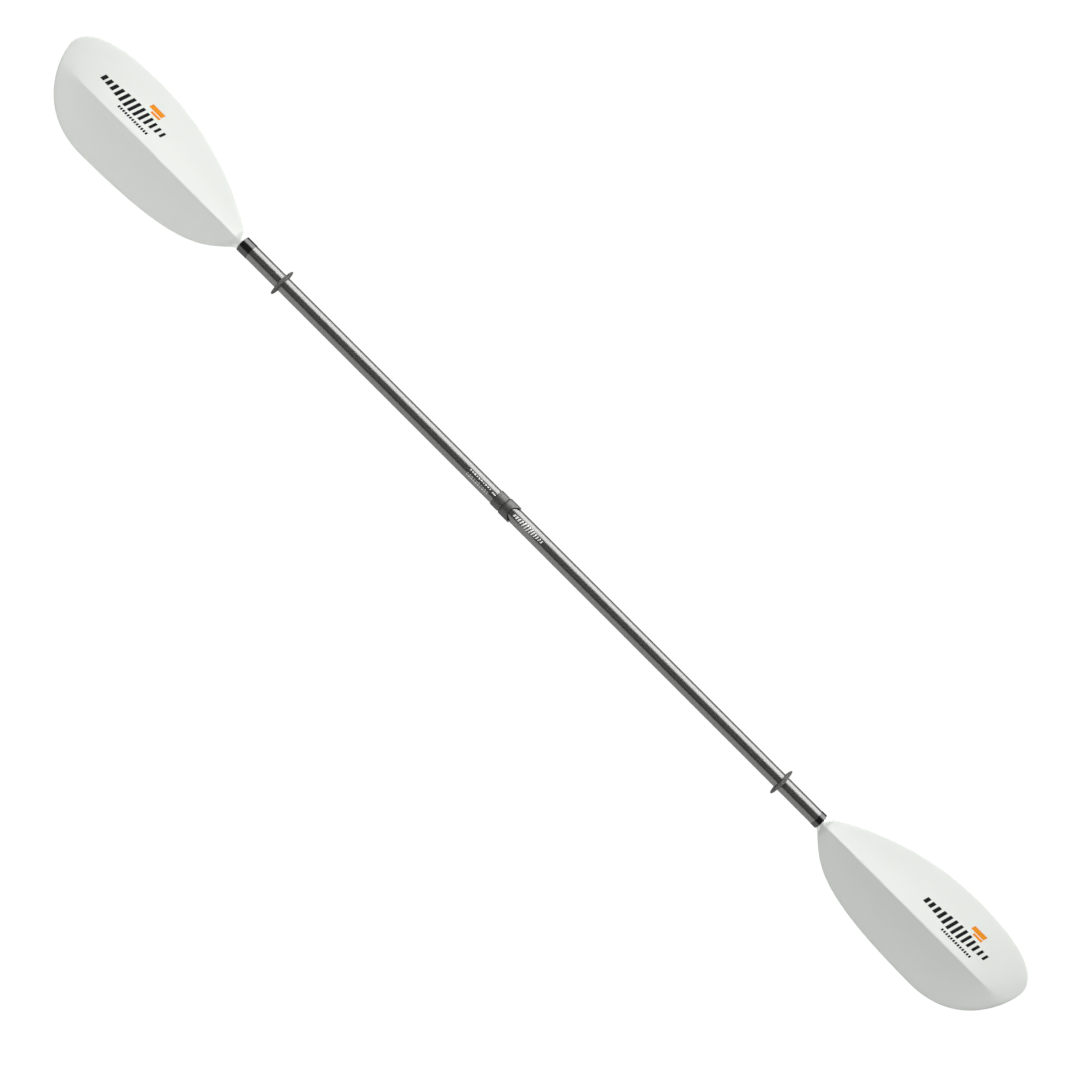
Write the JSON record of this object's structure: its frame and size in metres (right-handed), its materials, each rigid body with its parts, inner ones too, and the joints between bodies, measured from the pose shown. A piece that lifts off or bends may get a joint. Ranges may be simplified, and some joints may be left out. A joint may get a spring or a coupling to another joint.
{
  "type": "kayak paddle",
  "caption": "Two-piece kayak paddle with asymmetric ridged blades, a dark tube shaft, drip rings and a turning take-down ferrule.",
  "frame": {"origin": "on the shaft's axis at half of the paddle's length, between the two blade tips", "axes": "+X along the shaft to the right blade, +Y towards the blades' longer edges, +Z out of the power faces"},
  "size_m": [2.3, 0.186, 0.053],
  "materials": {
    "blade_nylon": "satin moulded nylon, off-white",
    "shaft_laminate": "semi-gloss woven laminate tube, charcoal black",
    "end_band": "gloss black band",
    "closed_cell_foam": "cut closed-cell foam",
    "ferrule_nylon": "glass-filled nylon, satin black",
    "collar_polymer": "soft-touch polymer, dark grey",
    "soft_rubber": "soft matte rubber, dark grey",
    "spring_steel": "stainless spring steel"
  },
  "bodies": {
    "left_half": {"left_blade": "blade_nylon", "left_shaft": "shaft_laminate", "left_end_band": "end_band", "left_float_plug": "closed_cell_foam", "ferrule_spigot": "ferrule_nylon", "spigot_seal_ring": "soft_rubber", "collar_retaining_ring": "spring_steel"},
    "feather_collar": {"feather_collar": "collar_polymer", "click_spring": "spring_steel"},
    "right_half": {"right_blade": "blade_nylon", "right_shaft": "shaft_laminate", "right_end_band": "end_band", "right_float_plug": "closed_cell_foam", "ferrule_socket": "ferrule_nylon", "ferrule_sleeve": "collar_polymer", "latch_snap_ring": "spring_steel", "button_spring_upper": "spring_steel", "button_spring_lower": "spring_steel"},
    "release_button": {"release_button": "ferrule_nylon"},
    "left_drip_ring": {"left_drip_ring": "soft_rubber"},
    "right_drip_ring": {"right_drip_ring": "soft_rubber"}
  },
  "joints": [
    {"name": "feather_turn", "type": "hinge", "parent": "left_half", "child": "feather_collar", "pos_m": [-0.0771, 0, 0], "axis": [1, 0, 0], "range_deg": [-60, 60], "deforming": ["click_spring"]},
    {"name": "take_down", "type": "slide", "parent": "feather_collar", "child": "right_half", "axis": [1, 0, 0], "range_m": [0, 0.14]},
    {"name": "release_press", "type": "slide", "parent": "right_half", "child": "release_button", "axis": [0, 0, 1], "range_m": [0, 0.0016], "stiffness_N_per_m": 800, "springref_m": -0.002, "deforming": ["latch_snap_ring", "button_spring_upper", "button_spring_lower"]},
    {"name": "left_drip_ring_slide", "type": "slide", "parent": "left_half", "child": "left_drip_ring", "axis": [-1, 0, 0], "range_m": [-0.25, 0.064]},
    {"name": "right_drip_ring_slide", "type": "slide", "parent": "right_half", "child": "right_drip_ring", "axis": [1, 0, 0], "range_m": [-0.25, 0.075]}
  ]
}
